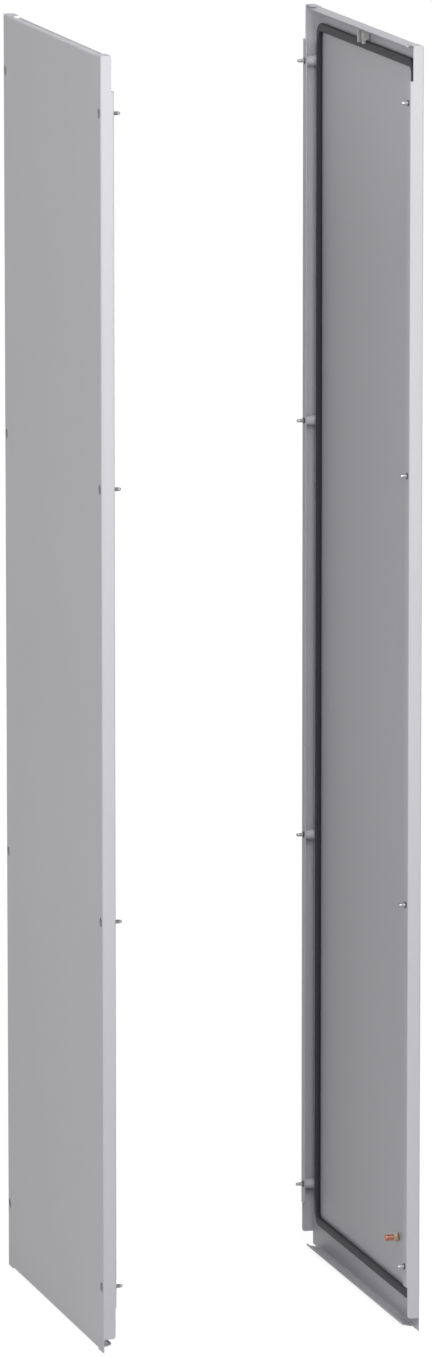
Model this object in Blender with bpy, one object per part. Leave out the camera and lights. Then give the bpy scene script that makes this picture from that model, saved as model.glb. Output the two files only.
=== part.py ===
"""A pair of cabinet side panels: folded sheets with captive screws, seals, hook brackets and earth studs."""

import cmath
import math

import bmesh
import bpy
from mathutils import Matrix, Vector

# Overall sizes, in metres
HEIGHT = 1.990
DEPTH = 0.585
SPACING = 0.504  # outer face to outer face

# Sheet
SHEET = 0.0015
BEND_R = 0.003  # outer radius of every fold
BEND_STEPS = 4  # folds that run up the panel
FOLD_STEPS = 5  # folds that run across it

# Cups behind the screw holes
CLEAR = 0.0003  # gap between pieces that touch
CUP_R = 0.008
CUP_WALL = 0.0007
CUP_FLOOR = 0.0015
SCREW_INSET = BEND_R + CUP_R  # screw axis to the panel's front or rear edge
SCREW_LOW = 0.1015  # lowest screw, from the panel's foot
SCREW_HIGH_GAP = 0.0875  # highest screw, from the panel's top
SCREW_STEP = 0.5685  # from an end screw to the next

# Flanges and returns, front and rear
RETURN_REACH = 0.0215  # inner face of the return flange, from the outer face of the panel
RETURN_WIDTH = SCREW_INSET + CUP_R + 0.001
RETURN_LOW = 0.070
RETURN_HIGH_GAP = 0.054  # from the panel's top to the return's upper end
RETURN_CHAMFER = 0.004
FLANGE_LOW = 0.021
FLANGE_LOW_REACH = RETURN_REACH - 0.0020  # below the return
FLANGE_TOP_REACH = RETURN_REACH - 0.0045  # above the return
FLANGE_CORNER = 0.0045
EDGE_R = 0.0011  # closed corner between the flange and the tab

# Top and bottom flanges
TAB_LENGTH = RETURN_WIDTH + 0.010
RELIEF = 0.001
GUTTER_REACH = RETURN_REACH - 0.0020
GUTTER_DROP = 0.0055
GUTTER_LIP = 0.0021
SILL_INSET = RETURN_WIDTH + 0.010
SILL_REACH = RETURN_REACH - 0.0010
SILL_RISE = 0.0043
SILL_LIP = 0.0037

# Screws and rings
SCREW_R = 0.003
SCREW_HOLE_R = SCREW_R + 0.0005
SCREW_TIP = RETURN_REACH + 0.012
SCREW_POINT = 0.0032  # length of the rounded point
SCREW_TRAVEL = 0.008
HEAD_R = CUP_R - CUP_WALL - 0.0013
HEAD_THICK = 0.005
HEAD_START = RETURN_REACH - SHEET - CLEAR - CUP_FLOOR - SCREW_TRAVEL - HEAD_THICK
HEAD_EDGE = 0.0008
DRIVE_R = 0.0026
DRIVE_DEEP = 0.003
RING_R = SCREW_HOLE_R + 0.0015
RING_THICK = 0.0012

# Seal
SEAL_WIDTH = 0.0136
SEAL_THICK = 0.007
SEAL_TOP_GAP = 0.0246
SEAL_BOTTOM = 0.041
SEAL_SIDE_GAP = RETURN_WIDTH + 0.0105
SEAL_CORNER_R = 0.022
SEAL_INNER_R = 0.010

# Hook bracket
HOOK_WIDTH = 0.026
HOOK_SHEET = 0.002
HOOK_SEAL_GAP = 0.001
HOOK_DEEP = SEAL_THICK + HOOK_SEAL_GAP + 0.0055
HOOK_TOP_GAP = GUTTER_DROP + 0.003
HOOK_LOW_GAP = SEAL_TOP_GAP + 0.0039

# Earth stud and its round nut
STUD_FROM_FRONT = 0.109
STUD_Z = 0.1235
STUD_R = 0.005
STUD_REACH = RETURN_REACH + 0.0025
STUD_CHAMFER = 0.0008
STUD_FOOT_R = STUD_R + 0.0008
STUD_FOOT_THICK = 0.0015
NUT_R = STUD_R + 0.0014
NUT_THICK = 0.0065

SIDES = (("left", 1.0), ("right", -1.0))
SCREW_HIGH = HEIGHT - SCREW_HIGH_GAP
SCREW_LEVELS = (SCREW_LOW, SCREW_LOW + SCREW_STEP, SCREW_HIGH - SCREW_STEP, SCREW_HIGH)
PAST = 0.001  # how far a cutter runs past what it cuts
FAR_PAST = 2 * PAST
QUARTER = math.pi / 2
OPEN = RETURN_REACH + FAR_PAST  # clear of the returns


def clear_scene():
    for obj in list(bpy.data.objects):
        bpy.data.objects.remove(obj)


def new_collection(name):
    collection = bpy.data.collections.new(name)
    bpy.context.scene.collection.children.link(collection)
    return collection


def material(name, colour, metallic, roughness):
    mat = bpy.data.materials.new(name)
    mat.use_nodes = True
    shader = mat.node_tree.nodes["Principled BSDF"]
    shader.inputs["Base Color"].default_value = (*colour, 1.0)
    shader.inputs["Metallic"].default_value = metallic
    shader.inputs["Roughness"].default_value = roughness
    mat.diffuse_color = (*colour, 1.0)
    return mat


def add_object(collection, name, mesh, mat=None):
    obj = bpy.data.objects.new(name, mesh)
    if mat is not None:
        mesh.materials.append(mat)
    collection.objects.link(obj)
    return obj


def add_cutter(collection, name, mesh):
    obj = add_object(collection, name, mesh)
    obj.hide_render = True
    obj.display_type = "WIRE"
    return obj


def mesh_from(bm, name):
    bmesh.ops.recalc_face_normals(bm, faces=bm.faces)
    mesh = bpy.data.meshes.new(name)
    bm.to_mesh(mesh)
    bm.free()
    return mesh


def arc(centre, radius, start, end, steps):
    points = []
    for step in range(steps + 1):
        angle = start + (end - start) * step / steps
        points.append((centre[0] + radius * math.cos(angle), centre[1] + radius * math.sin(angle)))
    return points


def fold_lines(path, thick, radius, steps, side):
    """Both faces of a sheet that follows path; side +1 puts the material left of the path."""
    points = [complex(*point) for point in path]
    start = points[1] - points[0]
    face = [points[0]]
    back = [points[0] + side * thick * 1j * start / abs(start)]
    for before, here, after in zip(points, points[1:], points[2:]):
        into = (here - before) / abs(here - before)
        turn = cmath.phase((after - here) / into)
        away = 1.0 if turn > 0 else -1.0
        bend = radius if away == side else radius - thick
        normal = 1j * into * away
        centre = here - into * bend * math.tan(abs(turn) / 2) + normal * bend
        for step in range(steps + 1):
            ray = -normal * cmath.exp(1j * turn * step / steps)
            face.append(centre + ray * bend)
            back.append(centre + ray * (bend - side * away * thick))
    end = points[-1] - points[-2]
    face.append(points[-1])
    back.append(points[-1] + side * thick * 1j * end / abs(end))
    return [(p.real, p.imag) for p in face], [(p.real, p.imag) for p in back]


def carried_on(points, start, end):
    """The line with its first and last chords carried on by start and end."""
    points = list(points)
    for tip, neighbour, more in ((0, 1, start), (-1, -2, end)):
        here, before = points[tip], points[neighbour]
        share = more / math.dist(here, before)
        points[tip] = tuple(p + (p - q) * share for p, q in zip(here, before))
    return points


def prism(outline, low, high, place):
    """Extrudes a closed outline from low to high; place turns (a, b, along) into a point."""
    bm = bmesh.new()
    ring = [bm.verts.new(place(a, b, low)) for a, b in outline]
    face = bm.faces.new(ring)
    grown = bmesh.ops.extrude_face_region(bm, geom=[face])
    moved = [item for item in grown["geom"] if isinstance(item, bmesh.types.BMVert)]
    shift = Vector(place(0, 0, high)) - Vector(place(0, 0, low))
    bmesh.ops.translate(bm, verts=moved, vec=shift)
    return bm


def along_z(a, b, t):
    return (a, b, t)


def along_y(a, b, t):
    return (a, t, b)


def along_x(a, b, t):
    return (t, a, b)


def turned(profile, steps, at):
    """Full turn of (radius, u) points about an axis along u through at = (y, z)."""
    bm = bmesh.new()
    verts = [bm.verts.new((u, at[0] + r, at[1])) for r, u in profile]
    edges = [bm.edges.new(pair) for pair in zip(verts, verts[1:])]
    if profile[0][0] > 0:
        edges.append(bm.edges.new((verts[-1], verts[0])))
    bmesh.ops.spin(
        bm,
        geom=verts + edges,
        cent=(0, at[0], at[1]),
        axis=(1, 0, 0),
        angle=math.tau,
        steps=steps,
        use_merge=True,
    )
    bmesh.ops.remove_doubles(bm, verts=bm.verts, dist=1e-6)
    return bm


def cylinder(radius, low, high, at, steps):
    points = arc(at, radius, 0, math.tau * (steps - 1) / steps, steps - 1)
    return prism(points, low, high, along_x)


def mirrored(bm, sign):
    """From distance inward of a panel's outer face to the object's X."""
    bmesh.ops.translate(bm, verts=bm.verts, vec=(-SPACING / 2, -DEPTH / 2, 0))
    if sign < 0:
        bmesh.ops.scale(bm, vec=(-1, 1, 1), verts=bm.verts)
        bmesh.ops.reverse_faces(bm, faces=bm.faces)
    return bm


def boolean(obj, operand, operation, name):
    mod = obj.modifiers.new(name, "BOOLEAN")
    mod.object = operand
    mod.operation = operation
    mod.solver = "EXACT"
    return mod


def outside_outline():
    """Outside of the folded flanges and returns, seen along the panel's height."""
    inset = RETURN_REACH - BEND_R
    centres = ((BEND_R, BEND_R), (inset, BEND_R), (inset, DEPTH - BEND_R), (BEND_R, DEPTH - BEND_R))
    points = []
    for turn, centre in enumerate(centres, 2):
        points += arc(centre, BEND_R, turn * QUARTER, (turn + 1) * QUARTER, BEND_STEPS)
    return points


def flange_outline():
    """What the hollow leaves of a flange and its return."""
    radius = BEND_R - SHEET
    points = arc((BEND_R, BEND_R), radius, 2 * QUARTER, 3 * QUARTER, BEND_STEPS)
    points = carried_on(points, PAST, 0)
    points += arc((RETURN_REACH - BEND_R, BEND_R), radius, 3 * QUARTER, 4 * QUARTER, BEND_STEPS)
    points += [(RETURN_REACH - SHEET, RETURN_WIDTH), (OPEN, RETURN_WIDTH)]
    points += [(OPEN, -FAR_PAST), (SHEET - PAST, -FAR_PAST)]
    return points


def tab_outline():
    """What the hollow leaves under the flat top."""
    centre = (BEND_R, HEIGHT - BEND_R)
    points = arc(centre, BEND_R - SHEET, 2 * QUARTER, QUARTER, FOLD_STEPS)
    points = carried_on(points, PAST, 0)
    high = HEIGHT + FAR_PAST
    return points + [(OPEN, HEIGHT - SHEET), (OPEN, high), (SHEET - PAST, high)]


def gutter_outlines():
    """What comes off above the gutter, and what the hollow leaves under it."""
    low = HEIGHT - GUTTER_DROP
    inside = GUTTER_REACH - SHEET
    path = [(0, low - BEND_R), (0, HEIGHT), (inside, low), (inside, low + GUTTER_LIP)]
    face, back = fold_lines(path, SHEET, BEND_R, FOLD_STEPS, -1)
    high = HEIGHT + PAST
    above = carried_on(face[1:], PAST, 0) + [(OPEN, low + GUTTER_LIP), (OPEN, high), (-PAST, high)]
    high = HEIGHT + FAR_PAST
    under = carried_on(back[1:-1], PAST, 0) + [(GUTTER_REACH, high), (SHEET - PAST, high)]
    return above, under


def sill_outlines():
    """What comes off below the sill, and what the hollow leaves over it."""
    top = SILL_RISE + SILL_LIP
    path = [(0, top), (0, 0), (SILL_REACH, SILL_RISE), (SILL_REACH, top)]
    face, back = fold_lines(path, SHEET, BEND_R, FOLD_STEPS, 1)
    below = carried_on(face[1:-1], PAST, PAST) + [(OPEN, -PAST), (-PAST, -PAST)]
    over = carried_on(back[1:], PAST, 0)
    over += [(SILL_REACH, top), (SILL_REACH, -FAR_PAST), (SHEET - PAST, -FAR_PAST)]
    return below, over


def near_and_far(outline, low, high, place):
    """A shape at the front edge and its mirror image at the rear."""
    near = prism(outline, low, high, place)
    if place is along_y:
        return [near, prism(outline, DEPTH - high, DEPTH - low, place)]
    if place is along_z:
        return [near, prism([(a, DEPTH - b) for a, b in outline], low, high, place)]
    return [near, prism([(DEPTH - a, b) for a, b in outline], low, high, place)]


def screw_places():
    """(number, y, z) of the eight screws of a panel, front column first, from the bottom."""
    places = []
    for column, y in enumerate((SCREW_INSET, DEPTH - SCREW_INSET)):
        for row, level in enumerate(SCREW_LEVELS):
            places.append((column * len(SCREW_LEVELS) + row + 1, y, level))
    return places


def reach_cuts():
    """Takes the returns off the ends of the flanges, at the top and the bottom."""
    over = RETURN_WIDTH + FAR_PAST
    side = RETURN_WIDTH - RETURN_CHAMFER
    slope = RETURN_CHAMFER + over - RETURN_WIDTH
    high = HEIGHT - RETURN_HIGH_GAP
    end = TAB_LENGTH + RELIEF / 2
    top = [(-PAST, high), (side, high), (over, high - slope), (end, high - slope)]
    top += [(end, HEIGHT + PAST), (-PAST, HEIGHT + PAST)]
    low = RETURN_LOW
    bottom = [(-PAST, low), (side, low), (over, low + slope), (over, -PAST), (-PAST, -PAST)]
    shapes = near_and_far(top, FLANGE_TOP_REACH, OPEN, along_x)
    return shapes, near_and_far(bottom, FLANGE_LOW_REACH, OPEN, along_x)


def fillet_outline(corner, away_a, away_b, radius, steps):
    """The sliver outside a rounded corner; away_a and away_b say which way its two sides run."""
    a, b = corner
    centre = (a + away_a * radius, b + away_b * radius)
    points = []
    for step in range(steps + 1):
        angle = QUARTER * step / steps
        point = (centre[0] - away_a * radius * math.cos(angle), centre[1] - away_b * radius * math.sin(angle))
        points.append(point)
    return carried_on(points, PAST, PAST) + [(a - away_a * PAST, b - away_b * PAST)]


def corner_cuts():
    """Rounds off the free corners of the flanges and tabs, near and far."""
    foot = (-PAST, BEND_R + PAST)
    head = (-PAST, SHEET + PAST)
    tab = (HEIGHT - SHEET - PAST / 2, HEIGHT + PAST)
    edge = (-PAST, FLANGE_TOP_REACH + PAST)
    cuts = []
    for name, corner, away, radius, steps, place, span in (
        ("flange_foot", (FLANGE_LOW_REACH, FLANGE_LOW), (-1, 1), FLANGE_CORNER, 4, along_y, foot),
        ("flange_head", (FLANGE_TOP_REACH, HEIGHT), (-1, -1), FLANGE_CORNER, 4, along_y, head),
        ("tab_free", (FLANGE_TOP_REACH, 0), (-1, 1), FLANGE_CORNER, 5, along_z, tab),
        ("top_edge", (0, HEIGHT), (1, -1), EDGE_R, 3, along_x, edge),
    ):
        outline = fillet_outline(corner, away[0], away[1], radius, steps)
        cuts.append((name, near_and_far(outline, span[0], span[1], place)))
    return cuts


def hole_cuts():
    cups = []
    holes = []
    for _, y, z in screw_places():
        cups.append(cylinder(CUP_R + CLEAR, -PAST, BEND_R + PAST, (y, z), 20))
        holes.append(cylinder(SCREW_HOLE_R, RETURN_REACH - SHEET - PAST, OPEN, (y, z), 16))
    return cups + holes


def group_mesh(shapes, sign, name):
    """Joins separate shapes into one mesh, placed on the panel's side."""
    whole = bmesh.new()
    for bm in shapes:
        bmesh.ops.recalc_face_normals(bm, faces=bm.faces)
        part = bpy.data.meshes.new(name)
        bm.to_mesh(part)
        bm.free()
        whole.from_mesh(part)
        bpy.data.meshes.remove(part)
    mirrored(whole, sign)
    return mesh_from(whole, name)


def slit_cuts():
    """Parts the flat corner tabs from the sloping gutter."""
    low, high = HEIGHT - GUTTER_DROP - 2 * BEND_R, HEIGHT + PAST
    start = BEND_R + SHEET
    outline = [(start, low), (OPEN, low), (OPEN, high), (start, high)]
    return near_and_far(outline, TAB_LENGTH, TAB_LENGTH + RELIEF, along_y)


def hollow(cutters, side, sign):
    """The room inside the folds: a plain block less what the flanges, top and sill keep of it."""
    block = [(SHEET, -PAST), (RETURN_REACH + PAST, -PAST)]
    block += [(RETURN_REACH + PAST, DEPTH + PAST), (SHEET, DEPTH + PAST)]
    shape = prism(block, -PAST, HEIGHT + PAST, along_z)
    room = add_cutter(cutters, f"{side}_hollow", mesh_from(mirrored(shape, sign), "hollow"))
    gutter_start = TAB_LENGTH + RELIEF / 4
    for name, shapes in (
        ("flanges", near_and_far(flange_outline(), FLANGE_LOW, HEIGHT + FAR_PAST, along_z)),
        ("top", [prism(tab_outline(), -FAR_PAST, DEPTH + FAR_PAST, along_y)]),
        ("gutter", [prism(gutter_outlines()[1], gutter_start, DEPTH - gutter_start, along_y)]),
        ("sill", [prism(sill_outlines()[1], SILL_INSET, DEPTH - SILL_INSET, along_y)]),
    ):
        kept = add_cutter(cutters, f"{side}_kept_{name}", group_mesh(shapes, sign, name))
        boolean(room, kept, "DIFFERENCE", name)
    return room


def panel_sheet(parts, cutters, side, sign, mat):
    """One folded sheet: its outside block, less the room inside the folds and the cuts."""
    block = prism(outside_outline(), 0, HEIGHT, along_z)
    sheet = add_object(parts, f"{side}_panel_sheet", mesh_from(mirrored(block, sign), "sheet"), mat)
    ridge = fillet_outline((0, HEIGHT), 1, -1, BEND_R, FOLD_STEPS)
    gutter_start = TAB_LENGTH + RELIEF * 3 / 4
    sill_start = SILL_INSET - CLEAR
    top_ends, foot_ends = reach_cuts()
    jobs = [
        ("ridge", [prism(ridge, -PAST, DEPTH + PAST, along_y)]),
        ("gutter", [prism(gutter_outlines()[0], gutter_start, DEPTH - gutter_start, along_y)]),
        ("sill", [prism(sill_outlines()[0], sill_start, DEPTH - sill_start, along_y)]),
        ("top_ends", top_ends),
        ("foot_ends", foot_ends),
    ]
    jobs += corner_cuts()
    jobs += [("slits", slit_cuts()), ("holes", hole_cuts())]
    room = hollow(cutters, side, sign)
    for name, shapes in jobs:
        cutter = add_cutter(cutters, f"{side}_{name}", group_mesh(shapes, sign, name))
        boolean(sheet, cutter, "DIFFERENCE", name)
        if name == "sill":
            boolean(sheet, room, "DIFFERENCE", "hollow")
    return sheet


def screw_cup(parts, name, sign, y, z, mat):
    """The recess behind a screw hole, with a pierced floor against the return flange."""
    floor = RETURN_REACH - SHEET - CLEAR
    profile = [
        (SCREW_HOLE_R, floor - CUP_FLOOR),
        (CUP_R - CUP_WALL, floor - CUP_FLOOR),
        (CUP_R - CUP_WALL, 0.0),
        (CUP_R, 0.0),
        (CUP_R, floor),
        (SCREW_HOLE_R, floor),
    ]
    bm = turned(profile, 20, (y, z))
    return add_object(parts, name, mesh_from(mirrored(bm, sign), name), mat)


def screw(parts, cutters, name, sign, y, z, mat):
    """Captive screw with a socket in its head; its origin is on its own axis at the head."""
    under = HEAD_START + HEAD_THICK
    profile = [
        (0.0, HEAD_START),
        (HEAD_R - HEAD_EDGE, HEAD_START),
        (HEAD_R, HEAD_START + HEAD_EDGE),
        (HEAD_R, under),
        (SCREW_R, under),
        (SCREW_R, SCREW_TIP - SCREW_POINT),
        (0.64 * SCREW_R, SCREW_TIP - 0.28 * SCREW_POINT),
        (0.20 * SCREW_R, SCREW_TIP),
        (0.0, SCREW_TIP),
    ]
    bm = turned(profile, 12, (y, z))
    obj = add_object(parts, name, mesh_from(mirrored(bm, sign), name), mat)
    socket = cylinder(DRIVE_R, HEAD_START - 0.001, HEAD_START + DRIVE_DEEP, (y, z), 6)
    cutter = add_cutter(cutters, f"{name}_socket", mesh_from(mirrored(socket, sign), name))
    boolean(obj, cutter, "DIFFERENCE", "socket")
    move_origin(obj, screw_point(sign, y, z, HEAD_START))
    return obj


def retaining_ring(parts, name, sign, y, z, mat):
    start = RETURN_REACH + CLEAR
    inner = SCREW_R + CLEAR
    profile = [(inner, start), (RING_R, start), (RING_R, start + RING_THICK), (inner, start + RING_THICK)]
    bm = turned(profile, 12, (y, z))
    obj = add_object(parts, name, mesh_from(mirrored(bm, sign), name), mat)
    move_origin(obj, screw_point(sign, y, z, start))
    return obj


def screw_point(sign, y, z, u):
    return Vector((sign * (u - SPACING / 2), y - DEPTH / 2, z))


def move_origin(obj, point):
    """Puts the object's origin at point and leaves its shape where it is."""
    obj.data.transform(Matrix.Translation(-point))
    obj.location = point


def rounded_loop(bm, low, high, radius, steps, u):
    """Closed loop of edges round a rectangle in the plane at u."""
    verts = []
    corners = ((high[0], high[1], 0), (low[0], high[1], 1), (low[0], low[1], 2), (high[0], low[1], 3))
    for y, z, turn in corners:
        away = (1 if turn in (0, 3) else -1, 1 if turn in (0, 1) else -1)
        centre = (y - away[0] * radius, z - away[1] * radius)
        for point in arc(centre, radius, turn * QUARTER, (turn + 1) * QUARTER, steps):
            verts.append(bm.verts.new((u, point[0], point[1])))
    return [bm.edges.new(pair) for pair in zip(verts, verts[1:] + verts[:1])]


def seal(parts, name, sign, mat):
    """One closed frame of soft seal on the inner face."""
    bm = bmesh.new()
    low = (SEAL_SIDE_GAP, SEAL_BOTTOM)
    high = (DEPTH - SEAL_SIDE_GAP, HEIGHT - SEAL_TOP_GAP)
    start = SHEET + CLEAR
    edges = rounded_loop(bm, low, high, SEAL_CORNER_R, 5, start)
    inset_low = (low[0] + SEAL_WIDTH, low[1] + SEAL_WIDTH)
    inset_high = (high[0] - SEAL_WIDTH, high[1] - SEAL_WIDTH)
    edges += rounded_loop(bm, inset_low, inset_high, SEAL_INNER_R, 5, start)
    made = bmesh.ops.bridge_loops(bm, edges=edges)
    grown = bmesh.ops.extrude_face_region(bm, geom=made["faces"])
    moved = [item for item in grown["geom"] if isinstance(item, bmesh.types.BMVert)]
    bmesh.ops.translate(bm, verts=moved, vec=(SEAL_THICK - CLEAR, 0, 0))
    return add_object(parts, name, mesh_from(mirrored(bm, sign), name), mat)


def hook_bracket(parts, cutters, name, sign, mat):
    """Two cheeks on a back plate, hanging down in front of the seal."""
    start = SHEET + CLEAR
    mid = DEPTH / 2
    half = HOOK_WIDTH / 2
    end = start + HOOK_DEEP
    path = [(end, mid - half), (start, mid - half), (start, mid + half), (end, mid + half)]
    outside, inside = fold_lines(path, HOOK_SHEET, HOOK_SHEET, 3, -1)
    bm = prism(outside + inside[::-1], HEIGHT - HOOK_LOW_GAP, HEIGHT - HOOK_TOP_GAP, along_z)
    obj = add_object(parts, name, mesh_from(mirrored(bm, sign), name), mat)
    top = HEIGHT - SEAL_TOP_GAP + HOOK_SEAL_GAP
    low = HEIGHT - HOOK_LOW_GAP - 0.001
    front = SHEET + SEAL_THICK + HOOK_SEAL_GAP
    notch = [(start - 0.001, low), (front, low), (front, top), (start - 0.001, top)]
    shape = prism(notch, mid - half - 0.001, mid + half + 0.001, along_y)
    cutter = add_cutter(cutters, f"{name}_notch", mesh_from(mirrored(shape, sign), name))
    boolean(obj, cutter, "DIFFERENCE", "notch")
    return obj


def earth_stud(parts, name, sign, mat):
    start = SHEET + CLEAR
    profile = [
        (0.0, start),
        (STUD_FOOT_R, start),
        (STUD_FOOT_R, start + STUD_FOOT_THICK),
        (STUD_R, start + STUD_FOOT_THICK),
        (STUD_R, STUD_REACH - STUD_CHAMFER),
        (STUD_R - STUD_CHAMFER, STUD_REACH),
        (0.0, STUD_REACH),
    ]
    bm = turned(profile, 16, (STUD_FROM_FRONT, STUD_Z))
    return add_object(parts, name, mesh_from(mirrored(bm, sign), name), mat)


def earth_nut(parts, name, sign, mat):
    low = SHEET + CLEAR + STUD_FOOT_THICK + CLEAR
    inner = STUD_R + CLEAR
    profile = [(inner, low), (NUT_R, low), (NUT_R, low + NUT_THICK), (inner, low + NUT_THICK)]
    bm = turned(profile, 20, (STUD_FROM_FRONT, STUD_Z))
    return add_object(parts, name, mesh_from(mirrored(bm, sign), name), mat)


def build_side(parts, cutters, side, sign):
    grey = material(f"{side}_sheet_grey", (0.48, 0.48, 0.50), 0.0, 0.55)
    panel_sheet(parts, cutters, side, sign, grey)
    for number, y, z in screw_places():
        cup_mat = material(f"{side}_cup_grey_{number}", (0.45, 0.45, 0.47), 0.0, 0.55)
        screw_cup(parts, f"{side}_screw_cup_{number}", sign, y, z, cup_mat)
        zinc = material(f"{side}_zinc_{number}", (0.66, 0.67, 0.68), 1.0, 0.35)
        screw(parts, cutters, f"{side}_screw_{number}", sign, y, z, zinc)
        nylon = material(f"{side}_nylon_{number}", (0.10, 0.10, 0.11), 0.0, 0.5)
        retaining_ring(parts, f"{side}_screw_ring_{number}", sign, y, z, nylon)
    foam = material(f"{side}_seal_black", (0.045, 0.045, 0.05), 0.0, 0.8)
    seal(parts, f"{side}_seal", sign, foam)
    steel = material(f"{side}_hook_grey", (0.40, 0.40, 0.41), 0.0, 0.55)
    hook_bracket(parts, cutters, f"{side}_hook_bracket", sign, steel)
    copper = material(f"{side}_stud_copper", (0.55, 0.27, 0.18), 1.0, 0.4)
    earth_stud(parts, f"{side}_earth_stud", sign, copper)
    brass = material(f"{side}_nut_copper", (0.50, 0.30, 0.20), 1.0, 0.4)
    earth_nut(parts, f"{side}_earth_nut", sign, brass)


def main():
    clear_scene()
    parts = new_collection("cabinet_side_panels")
    cutters = new_collection("cutters")
    cutters.hide_render = True
    for side, sign in SIDES:
        build_side(parts, cutters, side, sign)


main()
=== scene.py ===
import math

import bmesh
import bpy
from mathutils import Matrix, Vector


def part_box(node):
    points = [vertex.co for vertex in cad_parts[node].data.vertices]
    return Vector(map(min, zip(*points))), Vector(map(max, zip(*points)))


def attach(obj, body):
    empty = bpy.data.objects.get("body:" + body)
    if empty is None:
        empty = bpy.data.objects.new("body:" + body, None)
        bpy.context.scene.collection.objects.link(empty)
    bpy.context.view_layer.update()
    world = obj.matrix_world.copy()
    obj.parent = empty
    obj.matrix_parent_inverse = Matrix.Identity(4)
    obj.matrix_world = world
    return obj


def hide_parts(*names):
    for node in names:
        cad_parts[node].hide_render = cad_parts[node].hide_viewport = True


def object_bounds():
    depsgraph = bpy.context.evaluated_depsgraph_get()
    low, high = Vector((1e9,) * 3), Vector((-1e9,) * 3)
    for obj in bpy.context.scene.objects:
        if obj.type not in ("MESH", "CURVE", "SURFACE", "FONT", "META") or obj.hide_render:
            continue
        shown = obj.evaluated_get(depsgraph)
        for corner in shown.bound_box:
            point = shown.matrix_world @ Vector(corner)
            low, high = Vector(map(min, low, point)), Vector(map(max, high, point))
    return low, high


bl_info = {
    "name": "Cabinet side panels",
    "version": (1, 0, 0),
    "blender": (4, 5, 0),
    "location": "View3D > Sidebar > Cabinet",
    "description": "Finished looks for a pair of switchboard cabinet side panels",
    "category": "Object",
}

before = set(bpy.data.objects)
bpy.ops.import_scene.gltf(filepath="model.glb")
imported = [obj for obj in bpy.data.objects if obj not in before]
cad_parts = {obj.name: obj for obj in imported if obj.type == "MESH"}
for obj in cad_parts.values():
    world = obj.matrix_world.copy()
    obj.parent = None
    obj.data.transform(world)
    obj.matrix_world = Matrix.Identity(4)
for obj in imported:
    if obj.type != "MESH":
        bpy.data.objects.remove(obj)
CAD_BOX = [list(corner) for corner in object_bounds()]
PANEL_SIDES = (("left", 1), ("right", -1))
SCREWS_PER_PANEL = 8
SEAL_WIDTH = 0.0136
SEAL_OUTER_CORNER = 0.022
SEAL_INNER_CORNER = 0.010
WHITE = (1.0, 1.0, 1.0, 1.0)


# ---------------------------------------------------------------- settings


class PanelFinishSettings(bpy.types.PropertyGroup):
    """Colours and surface sizes of the panels."""

    coat_colour: bpy.props.FloatVectorProperty(
        name="Powder coat",
        description="Colour of the powder-coated sheet",
        subtype="COLOR",
        size=3,
        default=(0.60, 0.597, 0.632),
    )
    seal_colour: bpy.props.FloatVectorProperty(
        name="Seal",
        description="Colour of the soft seal",
        subtype="COLOR",
        size=3,
        default=(0.028, 0.029, 0.036),
    )
    zinc_colour: bpy.props.FloatVectorProperty(
        name="Zinc",
        description="Colour of the plated screws",
        subtype="COLOR",
        size=3,
        default=(0.36, 0.36, 0.37),
    )
    # Painted light: the brackets' plated grey is set well above the zinc's own tone, to make up for the
    # shade they sit in under the top flange and gutter.
    bracket_colour_with_painted_light: bpy.props.FloatVectorProperty(
        name="Hook brackets",
        description="Colour of the plated hook brackets",
        subtype="COLOR",
        size=3,
        default=(0.52, 0.525, 0.505),
    )
    copper_colour: bpy.props.FloatVectorProperty(
        name="Copper",
        description="Colour of the earth stud and its nut",
        subtype="COLOR",
        size=3,
        default=(0.43, 0.20, 0.15),
    )
    ring_colour: bpy.props.FloatVectorProperty(
        name="Rings",
        description="Colour of the moulded screw rings",
        subtype="COLOR",
        size=3,
        default=(0.055, 0.055, 0.06),
    )
    edge_round: bpy.props.FloatProperty(
        name="Edge rounding",
        description="Rounding of the sheet's cut edges",
        default=0.00035,
        min=0.0,
        unit="LENGTH",
    )
    seal_round: bpy.props.FloatProperty(
        name="Seal rounding",
        description="Rounding of the seal's long edges",
        default=0.0027,
        min=0.0,
        unit="LENGTH",
    )
    thread_pitch: bpy.props.FloatProperty(
        name="Thread pitch",
        description="Distance from one thread crest to the next",
        default=0.001,
        min=0.0002,
        unit="LENGTH",
    )


class StageSettings(bpy.types.PropertyGroup):
    """Light and camera."""

    ambient: bpy.props.FloatProperty(
        name="Ambient",
        description="Strength of the even light from all round",
        default=0.085,
        min=0.0,
    )
    lens: bpy.props.FloatProperty(
        name="Lens",
        description="Focal length of the camera",
        default=251.7,
        min=1.0,
        unit="CAMERA",
    )
    floor_size: bpy.props.FloatProperty(
        name="Floor",
        description="Side of the square floor",
        default=60.0,
        min=1.0,
        unit="LENGTH",
    )


# ---------------------------------------------------------------- materials


def new_material(name, colour, metallic, roughness):
    """A material with its Principled shader, and that shader."""
    made = bpy.data.materials.new(name)
    made.use_nodes = True
    made.diffuse_color = (*colour, 1.0)
    shader = made.node_tree.nodes["Principled BSDF"]
    shader.inputs["Base Color"].default_value = (*colour, 1.0)
    shader.inputs["Metallic"].default_value = metallic
    shader.inputs["Roughness"].default_value = roughness
    return made, shader


def noise(tree, coords, scale, detail, roughness=0.5):
    node = tree.nodes.new("ShaderNodeTexNoise")
    node.inputs["Scale"].default_value = scale
    node.inputs["Detail"].default_value = detail
    node.inputs["Roughness"].default_value = roughness
    tree.links.new(coords, node.inputs["Vector"])
    return node.outputs["Fac"]


def object_coords(tree):
    return tree.nodes.new("ShaderNodeTexCoord").outputs["Object"]


def tinted(colour, share):
    return (*[min(1.0, channel * share) for channel in colour], 1.0)


def colour_ramp(tree, factor, colour, low, high, start=0.35, end=0.65):
    """Runs from low to high times the colour as factor goes from start to end."""
    node = tree.nodes.new("ShaderNodeValToRGB")
    node.color_ramp.elements[0].position = start
    node.color_ramp.elements[0].color = tinted(colour, low)
    node.color_ramp.elements[1].position = end
    node.color_ramp.elements[1].color = tinted(colour, high)
    tree.links.new(factor, node.inputs["Fac"])
    return node.outputs["Color"]


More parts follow.
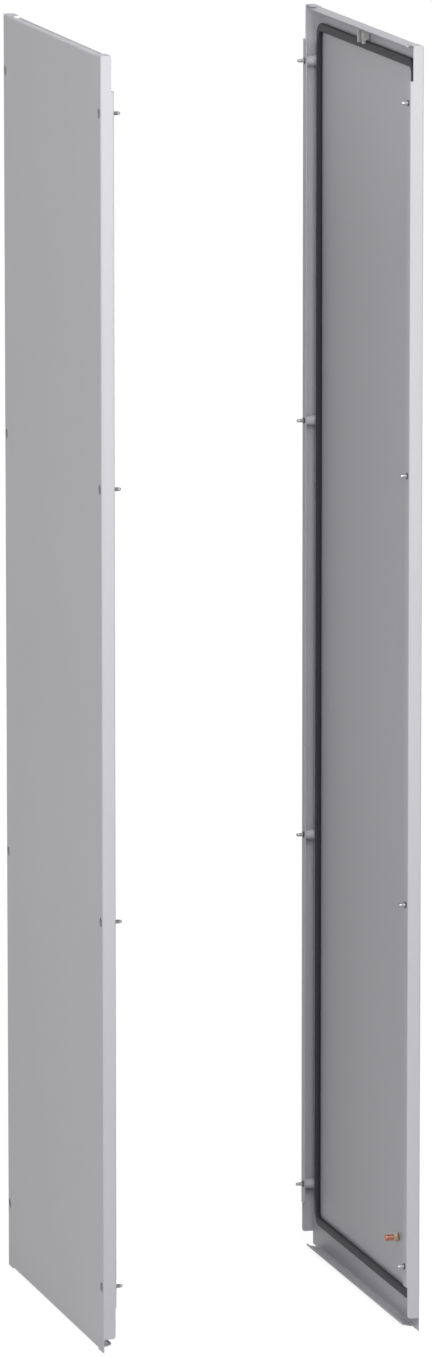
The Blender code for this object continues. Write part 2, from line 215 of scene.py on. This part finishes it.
def range_map(tree, factor, low, high):
    node = tree.nodes.new("ShaderNodeMapRange")
    node.inputs["To Min"].default_value = low
    node.inputs["To Max"].default_value = high
    tree.links.new(factor, node.inputs["Value"])
    return node.outputs["Result"]


def bump(tree, height, strength, distance, under=None):
    node = tree.nodes.new("ShaderNodeBump")
    node.inputs["Strength"].default_value = strength
    node.inputs["Distance"].default_value = distance
    tree.links.new(height, node.inputs["Height"])
    if under is not None:
        tree.links.new(under, node.inputs["Normal"])
    return node.outputs["Normal"]


def powder_coat(name, colour):
    """Fine orange peel over a faintly uneven coat."""
    made, shader = new_material(name, colour, 0.0, 0.5)
    tree = made.node_tree
    coords = object_coords(tree)
    cloud = noise(tree, coords, 2.6, 3.0, 0.55)
    tree.links.new(colour_ramp(tree, cloud, colour, 0.985, 1.015), shader.inputs["Base Color"])
    peel = noise(tree, coords, 640.0, 2.0, 0.6)
    tree.links.new(range_map(tree, peel, 0.34, 0.50), shader.inputs["Roughness"])
    coarse = bump(tree, noise(tree, coords, 230.0, 1.5), 0.10, 0.0007)
    tree.links.new(bump(tree, peel, 0.22, 0.00025, coarse), shader.inputs["Normal"])
    shader.inputs["Specular IOR Level"].default_value = 0.30
    return made


def seal_foam(name, colour):
    """Skinned closed-cell foam: fine pores and a soft bloom."""
    made, shader = new_material(name, colour, 0.0, 0.8)
    tree = made.node_tree
    coords = object_coords(tree)
    pores = noise(tree, coords, 900.0, 4.0, 0.7)
    tree.links.new(colour_ramp(tree, pores, colour, 0.75, 1.30), shader.inputs["Base Color"])
    swell = bump(tree, noise(tree, coords, 45.0, 2.0), 0.25, 0.0012)
    tree.links.new(bump(tree, pores, 0.5, 0.0004, swell), shader.inputs["Normal"])
    tree.links.new(range_map(tree, pores, 0.50, 0.70), shader.inputs["Roughness"])
    shader.inputs["Specular IOR Level"].default_value = 0.30
    return made


def plated_metal(name, colour, low_rough, high_rough, grain, metallic=1.0):
    """Plating with a faint cloud in its gloss and fine turning marks."""
    made, shader = new_material(name, colour, metallic, 0.35)
    tree = made.node_tree
    coords = object_coords(tree)
    cloud = noise(tree, coords, grain, 3.0, 0.6)
    tree.links.new(colour_ramp(tree, cloud, colour, 0.82, 1.10), shader.inputs["Base Color"])
    tree.links.new(range_map(tree, cloud, low_rough, high_rough), shader.inputs["Roughness"])
    tree.links.new(bump(tree, noise(tree, coords, 2400.0, 2.0), 0.12, 0.0001), shader.inputs["Normal"])
    return made


def moulded_nylon(name, colour):
    made, shader = new_material(name, colour, 0.0, 0.5)
    tree = made.node_tree
    coords = object_coords(tree)
    grain = noise(tree, coords, 1500.0, 3.0, 0.6)
    tree.links.new(colour_ramp(tree, grain, colour, 0.85, 1.20), shader.inputs["Base Color"])
    tree.links.new(range_map(tree, grain, 0.38, 0.58), shader.inputs["Roughness"])
    tree.links.new(bump(tree, grain, 0.15, 0.0001), shader.inputs["Normal"])
    return made


def finish_material(name, make, *values):
    """The named material, made on first use."""
    found = bpy.data.materials.get(name)
    return found if found else make(name, *values)


# ---------------------------------------------------------------- shapes


def finished(bm, name, mat, body, nodes, smooth=math.radians(35)):
    """Turns a bmesh into a piece that stands for CAD nodes and rides on their body."""
    mesh = bpy.data.meshes.new(name)
    bm.to_mesh(mesh)
    bm.free()
    mesh.materials.append(mat)
    mesh.shade_smooth()
    mesh.set_sharp_from_angle(angle=smooth)
    piece = bpy.data.objects.new(name, mesh)
    bpy.context.scene.collection.objects.link(piece)
    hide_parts(*nodes)
    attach(piece, body)
    return piece


def merged_copy(node):
    """The CAD node's own shape with its loose triangles joined and flat areas made whole."""
    bm = bmesh.new()
    bm.from_mesh(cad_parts[node].data)
    bmesh.ops.remove_doubles(bm, verts=bm.verts, dist=2e-6)
    bmesh.ops.dissolve_limit(bm, angle_limit=math.radians(0.5), verts=bm.verts, edges=bm.edges)
    return bm


def rounded(piece, width, segments, angle):
    """Rounds the piece's sharp edges."""
    mod = piece.modifiers.new("edge rounding", "BEVEL")
    mod.width = width
    mod.segments = segments
    mod.limit_method = "ANGLE"
    mod.angle_limit = math.radians(angle)
    mod.use_clamp_overlap = True
    mod.miter_outer = "MITER_ARC"
    normals = piece.modifiers.new("face-weighted normals", "WEIGHTED_NORMAL")
    normals.keep_sharp = True
    return piece


def turned_shape(profile, axis_point, sign, steps):
    """Spins (distance inward, radius) points about the axis along X through axis_point."""
    bm = bmesh.new()
    verts = [bm.verts.new((axis_point.x + sign * u, axis_point.y + r, axis_point.z)) for u, r in profile]
    edges = [bm.edges.new(pair) for pair in zip(verts, verts[1:])]
    if profile[0][1] > 0:
        edges.append(bm.edges.new((verts[-1], verts[0])))
    bmesh.ops.spin(
        bm,
        geom=verts + edges,
        cent=axis_point,
        axis=(1, 0, 0),
        angle=math.tau,
        steps=steps,
        use_merge=True,
    )
    bmesh.ops.remove_doubles(bm, verts=bm.verts, dist=1e-6)
    bmesh.ops.recalc_face_normals(bm, faces=bm.faces)
    return bm


def axis_of(node, sign):
    """(point on the axis at the panel's outer face, start and end inward, radius) of a turned CAD node."""
    low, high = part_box(node)
    outer = CAD_BOX[0][0] if sign > 0 else CAD_BOX[1][0]
    start = min(sign * (low.x - outer), sign * (high.x - outer))
    end = max(sign * (low.x - outer), sign * (high.x - outer))
    centre = Vector((outer, (low.y + high.y) / 2, (low.z + high.z) / 2))
    return centre, start, end, (high.z - low.z) / 2


def thread_profile(start, end, radius, pitch, depth):
    """Crests and roots of a thread as (distance inward, radius) points."""
    points = []
    turns = int((end - start) / pitch)
    for turn in range(turns):
        at = start + turn * pitch
        points.append((at, radius - depth))
        points.append((at + 0.38 * pitch, radius))
        points.append((at + 0.50 * pitch, radius))
    points.append((start + turns * pitch, radius - depth))
    return points


# ---------------------------------------------------------------- operators


class CABINET_OT_sheets(bpy.types.Operator):
    """Gives both folded panels their rounded edges and powder coat"""

    bl_idname = "cabinet.sheets"
    bl_label = "Panel sheets"

    def execute(self, context):
        finish = context.scene.panel_finish
        coat = finish_material("powder_coat_grey", powder_coat, tuple(finish.coat_colour))
        for side, _ in PANEL_SIDES:
            node = f"{side}_panel_sheet"
            name, body = f"{side}_folded_sheet", f"{side}_panel"
            piece = finished(merged_copy(node), name, coat, body, [node])
            rounded(piece, finish.edge_round, 2, 40)
        return {"FINISHED"}


class CABINET_OT_cups(bpy.types.Operator):
    """Makes the recessed cups behind the screw holes"""

    bl_idname = "cabinet.cups"
    bl_label = "Screw cups"

    def execute(self, context):
        finish = context.scene.panel_finish
        coat = finish_material("powder_coat_grey", powder_coat, tuple(finish.coat_colour))
        wall, hole, floor, lip, corner, outer = 0.0007, 0.0035, 0.0015, 0.0003, 0.0012, 0.0004
        for side, sign in PANEL_SIDES:
            for number in range(1, SCREWS_PER_PANEL + 1):
                node = f"{side}_screw_cup_{number}"
                centre, start, end, radius = axis_of(node, sign)
                inside = radius - wall
                profile = [
                    (end - floor, hole),
                    (end - floor, inside - corner),
                    (end - floor - 0.3 * corner, inside - 0.3 * corner),
                    (end - floor - corner, inside),
                    (start + lip, inside),
                    (start, inside + lip),
                    (start, radius),
                    (end - corner, radius),
                    (end - outer, radius - outer),
                    (end, radius - corner),
                    (end, hole),
                ]
                bm = turned_shape(profile, centre, sign, 48)
                finished(bm, f"{side}_recess_cup_{number}", coat, f"{side}_panel", [node])
        return {"FINISHED"}


class CABINET_OT_screws(bpy.types.Operator):
    """Makes the captive screws with their sockets, threads and points"""

    bl_idname = "cabinet.screws"
    bl_label = "Captive screws"

    def execute(self, context):
        finish = context.scene.panel_finish
        zinc = finish_material("screw_zinc", plated_metal, tuple(finish.zinc_colour), 0.22, 0.42, 260.0)
        for side, sign in PANEL_SIDES:
            for number in range(1, SCREWS_PER_PANEL + 1):
                node = f"{side}_screw_{number}"
                centre, start, end, radius = axis_of(node, sign)
                bm = self.shape(centre, start, end, radius, sign, finish.thread_pitch)
                name = f"{side}_captive_screw_{number}"
                finished(bm, name, zinc, f"{side}_screw_{number}", [node])
        return {"FINISHED"}

    def shape(self, centre, start, end, radius, sign, pitch):
        """Head with its socket, neck, thread and rounded point, seat_gap clear of the cup's floor."""
        head, shank, point, socket, deep = 0.005, 0.003, 0.0032, 0.0026, 0.003
        soft, crown, fillet, seat_gap = 0.0003, 0.0009, 0.0004, 0.00006
        neck, thread_deep = 0.004, 0.0003
        under = start + head - seat_gap
        profile = [
            (start + deep, 0.0),
            (start + deep, socket),
            (start + soft, socket),
            (start, socket + soft),
            (start, radius - crown),
            (start + soft, radius - soft),
            (start + crown, radius),
            (under - soft, radius),
            (under, radius - soft),
            (under, shank + fillet),
            (under + fillet, shank - fillet / 2),
        ]
        profile += thread_profile(under + neck, end - point - 0.0002, shank, pitch, thread_deep)
        for share in (0.0, 0.2, 0.4, 0.6, 0.75, 0.87, 0.95, 1.0):
            width = 0.9 * shank * math.sqrt(1.0 - share**2.2)
            profile.append((end - point * (1.0 - share), width))
        bm = turned_shape(profile, centre, sign, 36)
        return self.six_sided(bm, centre, sign, start, start + deep, socket + soft)

    def six_sided(self, bm, centre, sign, low, high, reach):
        """Draws the socket's round wall in to a hexagon."""
        slack, sixth = 3e-5, math.pi / 3
        for vert in bm.verts:
            inward = sign * (vert.co.x - centre.x)
            y, z = vert.co.y - centre.y, vert.co.z - centre.z
            if low - slack <= inward <= high + slack and slack < math.hypot(y, z) <= reach + slack:
                turn = math.atan2(z, y) % sixth
                share = math.cos(sixth / 2) / math.cos(turn - sixth / 2)
                vert.co.y = centre.y + y * share
                vert.co.z = centre.z + z * share
        return bm


class CABINET_OT_rings(bpy.types.Operator):
    """Makes the dark rings that keep the screws captive"""

    bl_idname = "cabinet.rings"
    bl_label = "Retaining rings"

    def execute(self, context):
        finish = context.scene.panel_finish
        nylon = finish_material("ring_nylon_dark", moulded_nylon, tuple(finish.ring_colour))
        bore, soft = 0.0033, 0.0002
        for side, sign in PANEL_SIDES:
            for number in range(1, SCREWS_PER_PANEL + 1):
                node = f"{side}_screw_ring_{number}"
                centre, start, end, radius = axis_of(node, sign)
                profile = [
                    (start, bore + soft),
                    (start, radius - soft),
                    (start + soft, radius),
                    (end - 2 * soft, radius),
                    (end, radius - 2 * soft),
                    (end, bore + soft),
                    (end - soft, bore),
                    (start + soft, bore),
                ]
                bm = turned_shape(profile, centre, sign, 32)
                name = f"{side}_retaining_ring_{number}"
                finished(bm, name, nylon, f"{side}_ring_{number}", [node])
        return {"FINISHED"}


class CABINET_OT_seals(bpy.types.Operator):
    """Makes the soft seal frames"""

    bl_idname = "cabinet.seals"
    bl_label = "Seals"

    def execute(self, context):
        finish = context.scene.panel_finish
        foam = finish_material("seal_foam_black", seal_foam, tuple(finish.seal_colour))
        for side, sign in PANEL_SIDES:
            node = f"{side}_seal"
            low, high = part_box(node)
            bm = self.ring(low, high, sign, finish.seal_round)
            finished(bm, f"{side}_seal_frame", foam, f"{side}_panel", [node])
        return {"FINISHED"}

    def ring(self, low, high, sign, soft):
        """Sweeps the seal's rounded section round its frame."""
        section = self.section(high.x - low.x, soft)
        bm = bmesh.new()
        rows = [self.row(bm, low, high, sign, inset, lift) for inset, lift in section]
        for row, following in zip(rows, rows[1:] + rows[:1]):
            count = len(row)
            for spot in range(count):
                nxt = (spot + 1) % count
                bm.faces.new((row[spot], row[nxt], following[nxt], following[spot]))
        bmesh.ops.recalc_face_normals(bm, faces=bm.faces)
        return bm

    def section(self, thick, soft):
        """(distance in from the outer edge, height off the sheet), with an undercut foot."""
        half = [(0.0010, 0.0), (0.0010, 0.0009), (0.0003, 0.0013), (0.0, 0.0020)]
        for step in range(5):
            angle = math.pi / 2 * step / 4
            half.append((soft * (1 - math.cos(angle)), thick - soft * (1 - math.sin(angle))))
        return half + [(SEAL_WIDTH - inset, lift) for inset, lift in reversed(half)]

    def row(self, bm, low, high, sign, inset, lift):
        """One line of points round the frame, with its corners rounded."""
        x = low.x + lift if sign > 0 else high.x - lift
        radius = SEAL_OUTER_CORNER - (SEAL_OUTER_CORNER - SEAL_INNER_CORNER) * inset / SEAL_WIDTH
        corners = ((high.y, high.z), (low.y, high.z), (low.y, low.z), (high.y, low.z))
        points = []
        for turn, (y, z) in enumerate(corners):
            way_y = 1 if turn in (0, 3) else -1
            way_z = 1 if turn in (0, 1) else -1
            centre_y = y - way_y * (inset + radius)
            centre_z = z - way_z * (inset + radius)
            for step in range(9):
                angle = math.pi / 2 * (turn + step / 8)
                point = (x, centre_y + radius * math.cos(angle), centre_z + radius * math.sin(angle))
                points.append(bm.verts.new(point))
        return points


class CABINET_OT_hooks(bpy.types.Operator):
    """Makes the hook brackets at the top"""

    bl_idname = "cabinet.hooks"
    bl_label = "Hook brackets"

    def execute(self, context):
        finish = context.scene.panel_finish
        # Painted light: the bracket colour is brightened to stand in for light that the shaded cheeks
        # don't get; its greenish grey is the zinc's own.
        colour = tuple(finish.bracket_colour_with_painted_light)
        steel = finish_material("bracket_zinc", plated_metal, colour, 0.40, 0.56, 150.0, 0.5)
        for side, _ in PANEL_SIDES:
            node = f"{side}_hook_bracket"
            name, body = f"{side}_hook_channel", f"{side}_panel"
            piece = finished(merged_copy(node), name, steel, body, [node])
            rounded(piece, finish.edge_round, 2, 40)
        return {"FINISHED"}


class CABINET_OT_earth(bpy.types.Operator):
    """Makes the earth studs and their nuts"""

    bl_idname = "cabinet.earth"
    bl_label = "Earth studs"

    def execute(self, context):
        finish = context.scene.panel_finish
        red, green, blue = finish.copper_colour
        copper = finish_material("stud_copper", plated_metal, (red, green, blue), 0.30, 0.50, 180.0)
        # Painted light: the nut gets a brightened copy of the copper. It is paler like the nut's own
        # plating, and lifted further to make up for the shade it sits in beside the stud.
        pale_nut_and_painted_light = (red * 2.0, green * 3.6, blue * 3.5)
        nut_copper = finish_material("nut_copper", plated_metal, pale_nut_and_painted_light, 0.28, 0.45, 140.0, 0.15)
        for side, sign in PANEL_SIDES:
            node = f"{side}_earth_stud"
            centre, start, end, foot = axis_of(node, sign)
            bm = self.stud(centre, start, end, foot, sign)
            finished(bm, f"{side}_threaded_stud", copper, f"{side}_panel", [node])
            node = f"{side}_earth_nut"
            centre, start, end, radius = axis_of(node, sign)
            bm = self.round_nut(centre, start, end, radius, sign)
            finished(bm, f"{side}_stud_nut", nut_copper, f"{side}_panel", [node])
        return {"FINISHED"}

    def stud(self, centre, start, end, foot, sign):
        """Round foot and a threaded length with a chamfered end."""
        core, foot_thick, pitch, depth, soft = 0.005, 0.0015, 0.0015, 0.0005, 0.0002
        top = start + foot_thick
        profile = [
            (start, 0.0),
            (start, foot - soft),
            (start + soft, foot),
            (top - soft, foot),
            (top, foot - soft),
            (top, core - 0.0004),
        ]
        profile += thread_profile(top + 0.0006, end - 0.0009, core, pitch, depth)
        profile += [(end - 0.0003, core - 0.0007), (end, core - 0.0010), (end, 0.0)]
        return turned_shape(profile, centre, sign, 40)

    def round_nut(self, centre, start, end, radius, sign):
        """A plain collar, open right through, with a softened outer rim."""
        bore, rim, soft, mouth = radius - 0.0011, 0.0005, 0.0002, 0.0003
        profile = [
            (start, bore + soft),
            (start, radius - soft),
            (start + soft, radius),
            (end - rim, radius),
            (end, radius - rim),
            (end, bore + mouth),
            (end - mouth, bore),
            (start + soft, bore),
        ]
        return turned_shape(profile, centre, sign, 48)


class CABINET_OT_stage(bpy.types.Operator):
    """Makes the floor, the lamps and the camera"""

    bl_idname = "cabinet.stage"
    bl_label = "Stage"

    def execute(self, context):
        settings = context.scene.panel_stage
        context.scene.view_settings.view_transform = "Standard"
        self.world(context, settings.ambient)
        self.floor(settings.floor_size)
        self.lamps()
        self.camera(context, settings.lens)
        return {"FINISHED"}

    def world(self, context, ambient):
        world = bpy.data.worlds.new("studio")
        context.scene.world = world
        world.use_nodes = True
        tree = world.node_tree
        back = tree.nodes["Background"]
        back.inputs["Color"].default_value = WHITE
        back.inputs["Strength"].default_value = ambient
        seen = tree.nodes.new("ShaderNodeBackground")
        seen.inputs["Color"].default_value = WHITE
        seen.inputs["Strength"].default_value = 1.0
        tree.links.new(self.seen_rays(tree), self.mixed(tree, back, seen))

    def seen_rays(self, tree):
        """1 for camera, glossy and transmission rays."""
        path = tree.nodes.new("ShaderNodeLightPath")
        value = path.outputs["Is Camera Ray"]
        for kind in ("Is Glossy Ray", "Is Transmission Ray"):
            larger = tree.nodes.new("ShaderNodeMath")
            larger.operation = "MAXIMUM"
            tree.links.new(value, larger.inputs[0])
            tree.links.new(path.outputs[kind], larger.inputs[1])
            value = larger.outputs[0]
        return value

    def mixed(self, tree, plain, seen):
        """Puts plain and seen on the output, and gives back the factor that picks seen."""
        mix = tree.nodes.new("ShaderNodeMixShader")
        tree.links.new(plain.outputs[0], mix.inputs[1])
        tree.links.new(seen.outputs[0], mix.inputs[2])
        output = next(node for node in tree.nodes if node.type in ("OUTPUT_WORLD", "OUTPUT_MATERIAL"))
        tree.links.new(mix.outputs[0], output.inputs["Surface"])
        return mix.inputs[0]

    def floor(self, size):
        """A white sheet just under the part that still takes a faint shadow."""
        bm = bmesh.new()
        bmesh.ops.create_grid(bm, x_segments=1, y_segments=1, size=size / 2)
        bmesh.ops.translate(bm, verts=bm.verts, vec=(0, 0, CAD_BOX[0][2] - 0.001))
        mesh = bpy.data.meshes.new("floor")
        bm.to_mesh(mesh)
        bm.free()
        floor = bpy.data.objects.new("floor", mesh)
        bpy.context.scene.collection.objects.link(floor)
        made = bpy.data.materials.new("floor_white")
        made.use_nodes = True
        tree = made.node_tree
        tree.nodes.remove(tree.nodes["Principled BSDF"])
        plain = tree.nodes.new("ShaderNodeBsdfDiffuse")
        plain.inputs["Color"].default_value = (0.62, 0.62, 0.62, 1.0)
        faint = tree.nodes.new("ShaderNodeBsdfDiffuse")
        faint.inputs["Color"].default_value = (0.30, 0.30, 0.30, 1.0)
        glow = tree.nodes.new("ShaderNodeEmission")
        glow.inputs["Color"].default_value = WHITE
        tree.links.new(self.growing_out(tree, 0.88, 0.985), glow.inputs["Strength"])
        seen = tree.nodes.new("ShaderNodeAddShader")
        tree.links.new(faint.outputs[0], seen.inputs[0])
        tree.links.new(glow.outputs[0], seen.inputs[1])
        tree.links.new(self.seen_rays(tree), self.mixed(tree, plain, seen))
        mesh.materials.append(made)

    def growing_out(self, tree, near, far):
        """Runs from near to far between two and five metres from the middle of the floor."""
        length = tree.nodes.new("ShaderNodeVectorMath")
        length.operation = "LENGTH"
        tree.links.new(object_coords(tree), length.inputs[0])
        ramp = tree.nodes.new("ShaderNodeMapRange")
        ramp.inputs["From Min"].default_value = 2.0
        ramp.inputs["From Max"].default_value = 5.0
        ramp.inputs["To Min"].default_value = near
        ramp.inputs["To Max"].default_value = far
        tree.links.new(length.outputs["Value"], ramp.inputs["Value"])
        return ramp.outputs["Result"]

    def lamps(self):
        """Name, place, aim, width, height and watts of each lamp."""
        self.area("left_key", (-2.2, -3.4, 4.2), (0.0, -0.3, 1.6), 2.5, 2.0, 21.0)
        self.area("front_high", (-0.15, -3.0, 3.7), (0.0, -0.3, 1.6), 1.0, 1.2, 37.0)
        self.area("front_middle", (0.3, -3.0, 1.9), (0.0, -0.3, 1.2), 1.8, 1.8, 44.0)
        self.area("left_broad", (-3.4, -1.2, 2.4), (0.0, -0.1, 1.1), 5.0, 4.0, 51.5)
        self.area("top_small", (0.1, -0.4, 4.2), (0.1, -0.1, 2.0), 1.2, 1.2, 15.0)
        self.area("right_back", (4.6, 2.2, 2.6), (0.0, 0.1, 1.1), 4.0, 4.0, 50.0)

    def area(self, name, place, aim, wide, high, power):
        data = bpy.data.lights.new(name, "AREA")
        data.shape = "RECTANGLE"
        data.size = wide
        data.size_y = high
        data.energy = power
        lamp = bpy.data.objects.new(name, data)
        lamp.location = place
        lamp.rotation_euler = (Vector(aim) - Vector(place)).to_track_quat("-Z", "Y").to_euler()
        bpy.context.scene.collection.objects.link(lamp)

    def camera(self, context, lens):
        data = bpy.data.cameras.new("camera")
        data.lens = lens
        data.sensor_width = 36.0
        data.clip_start = 1.0
        data.clip_end = 200.0
        camera = bpy.data.objects.new("camera", data)
        yaw, pitch, roll = math.radians(15.589), math.radians(-10.494), math.radians(-0.011)
        camera.location = (-3.8636, -13.8776, 3.6515)
        turn = Matrix.Rotation(-yaw, 4, "Z") @ Matrix.Rotation(math.pi / 2 + pitch, 4, "X")
        turn = turn @ Matrix.Rotation(roll, 4, "Z")
        camera.rotation_euler = turn.to_euler()
        context.scene.collection.objects.link(camera)
        context.scene.camera = camera


# ---------------------------------------------------------------- sidebar


class CABINET_PT_panel(bpy.types.Panel):
    """Lists the steps that finish the cabinet panels"""

    bl_idname = "CABINET_PT_panel"
    bl_label = "Cabinet side panels"
    bl_space_type = "VIEW_3D"
    bl_region_type = "UI"
    bl_category = "Cabinet"

    def draw(self, context):
        column = self.layout.column()
        for step in STEPS:
            column.operator(step.bl_idname)
        for group in (context.scene.panel_finish, context.scene.panel_stage):
            for key in group.bl_rna.properties.keys():
                if key not in ("rna_type", "name"):
                    column.prop(group, key)


STEPS = (
    CABINET_OT_sheets,
    CABINET_OT_cups,
    CABINET_OT_screws,
    CABINET_OT_rings,
    CABINET_OT_seals,
    CABINET_OT_hooks,
    CABINET_OT_earth,
    CABINET_OT_stage,
)
CLASSES = (PanelFinishSettings, StageSettings, *STEPS, CABINET_PT_panel)


def register():
    for made in CLASSES:
        bpy.utils.register_class(made)
    bpy.types.Scene.panel_finish = bpy.props.PointerProperty(type=PanelFinishSettings)
    bpy.types.Scene.panel_stage = bpy.props.PointerProperty(type=StageSettings)


def unregister():
    del bpy.types.Scene.panel_stage
    del bpy.types.Scene.panel_finish
    for made in reversed(CLASSES):
        bpy.utils.unregister_class(made)


def main():
    register()
    bpy.ops.cabinet.sheets()
    bpy.ops.cabinet.cups()
    bpy.ops.cabinet.screws()
    bpy.ops.cabinet.rings()
    bpy.ops.cabinet.seals()
    bpy.ops.cabinet.hooks()
    bpy.ops.cabinet.earth()
    bpy.ops.cabinet.stage()


if __name__ == "__main__":
    main()
